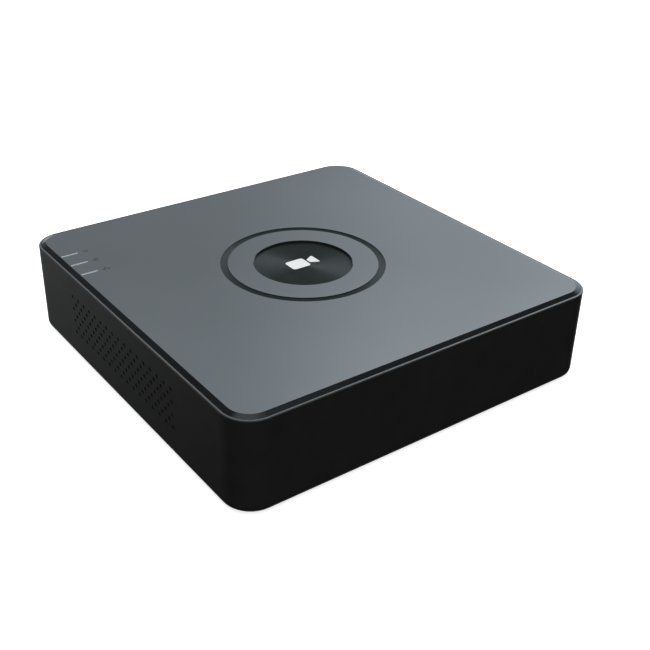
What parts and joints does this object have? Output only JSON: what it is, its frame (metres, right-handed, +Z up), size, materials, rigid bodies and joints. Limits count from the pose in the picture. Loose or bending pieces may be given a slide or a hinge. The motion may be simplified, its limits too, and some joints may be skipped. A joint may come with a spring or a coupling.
{
  "type": "dvr recorder",
  "caption": "Compact square video recorder: black plastic case with glossy lift-off cover, light bars, side vents, rear video, audio, network and power sockets, disk drive inside.",
  "frame": {"origin": "centre of the recorder's footprint, connectors included, on the surface it stands on", "axes": "+X along the plain front edge, +Y from the plain front face to the rear connectors, +Z up"},
  "size_m": [0.2, 0.211, 0.048],
  "materials": {
    "case_plastic": "fine textured black",
    "cover_plastic": "polished black",
    "badge_plastic": "spun gloss black",
    "light_pipe": "clear moulded",
    "panel_steel": "black powder coat",
    "foot_rubber": "matt",
    "screw_steel": "zinc plated",
    "board_laminate": "green solder mask",
    "chip_plastic": "moulded epoxy",
    "heat_sink_aluminium": "black anodised",
    "ivory_plastic": "moulded",
    "can_aluminium": "drawn",
    "cell_steel": "brushed",
    "led_lens": "clear",
    "black_plastic": "moulded",
    "nickel_plate": "nickel plated",
    "white_plastic": "moulded",
    "contact_gold": "gold flash",
    "blue_plastic": "moulded",
    "green_plastic": "moulded",
    "black_jacket": "smooth jacket",
    "red_jacket": "smooth jacket",
    "cast_aluminium": "cast and machined",
    "bright_steel": "bright",
    "disk_mirror": "polished"
  },
  "bodies": {
    "case": {"bottom_case": "case_plastic", "rear_panel": "panel_steel", "rubber_feet": "foot_rubber", "case_screws": "screw_steel", "main_board": "board_laminate", "board_screws": "screw_steel", "soc_chip": "chip_plastic", "heat_sink": "heat_sink_aluminium", "heat_sink_pins": "ivory_plastic", "memory_chips": "chip_plastic", "decoder_chips": "chip_plastic", "capacitors": "can_aluminium", "inductors": "chip_plastic", "cell_holder": "ivory_plastic", "coin_cell": "cell_steel", "status_leds": "led_lens", "buzzer": "chip_plastic", "network_transformer": "chip_plastic", "bnc_housing": "black_plastic", "bnc_shell_1": "nickel_plate", "bnc_shell_2": "nickel_plate", "bnc_shell_3": "nickel_plate", "bnc_shell_4": "nickel_plate", "bnc_insulators": "white_plastic", "bnc_contacts": "contact_gold", "audio_housing": "black_plastic", "audio_shell_in": "nickel_plate", "audio_shell_out": "nickel_plate", "audio_cores": "white_plastic", "vga_shell": "nickel_plate", "vga_insert": "blue_plastic", "vga_jack_screws": "screw_steel", "hdmi_shell": "nickel_plate", "hdmi_tongue": "black_plastic", "lan_shield": "nickel_plate", "lan_insert": "black_plastic", "usb_shell": "nickel_plate", "usb_tongues": "white_plastic", "terminal_block": "green_plastic", "terminal_screws": "screw_steel", "power_jack": "black_plastic", "power_pin": "contact_gold", "ground_screw": "screw_steel", "drive_headers": "ivory_plastic", "data_lead": "black_jacket", "data_plugs": "black_plastic", "power_lead": "red_jacket", "power_plugs": "ivory_plastic", "drive_base": "cast_aluminium", "drive_lid": "bright_steel", "drive_board": "board_laminate", "drive_connector": "black_plastic", "drive_screws": "screw_steel"},
    "cover": {"top_cover": "cover_plastic", "badge_disc": "badge_plastic", "groove_ring": "badge_plastic", "light_guide": "light_pipe"},
    "drive_spindle": {"drive_disks": "disk_mirror", "drive_hub": "bright_steel"},
    "drive_head_arm": {"drive_arm": "cast_aluminium"}
  },
  "joints": [
    {"name": "cover_lift", "type": "slide", "parent": "case", "child": "cover", "axis": [0, 0, 1], "range_m": [0, 0.06]},
    {"name": "disk_spin", "type": "hinge", "parent": "case", "child": "drive_spindle", "pos_m": [-0.022, -0.0512, 0.02], "axis": [0, 0, 1], "continuous": true},
    {"name": "head_swing", "type": "hinge", "parent": "case", "child": "drive_head_arm", "pos_m": [0.035, -0.0772, 0.02], "axis": [0, 0, 1], "range_deg": [-8, 22]}
  ]
}
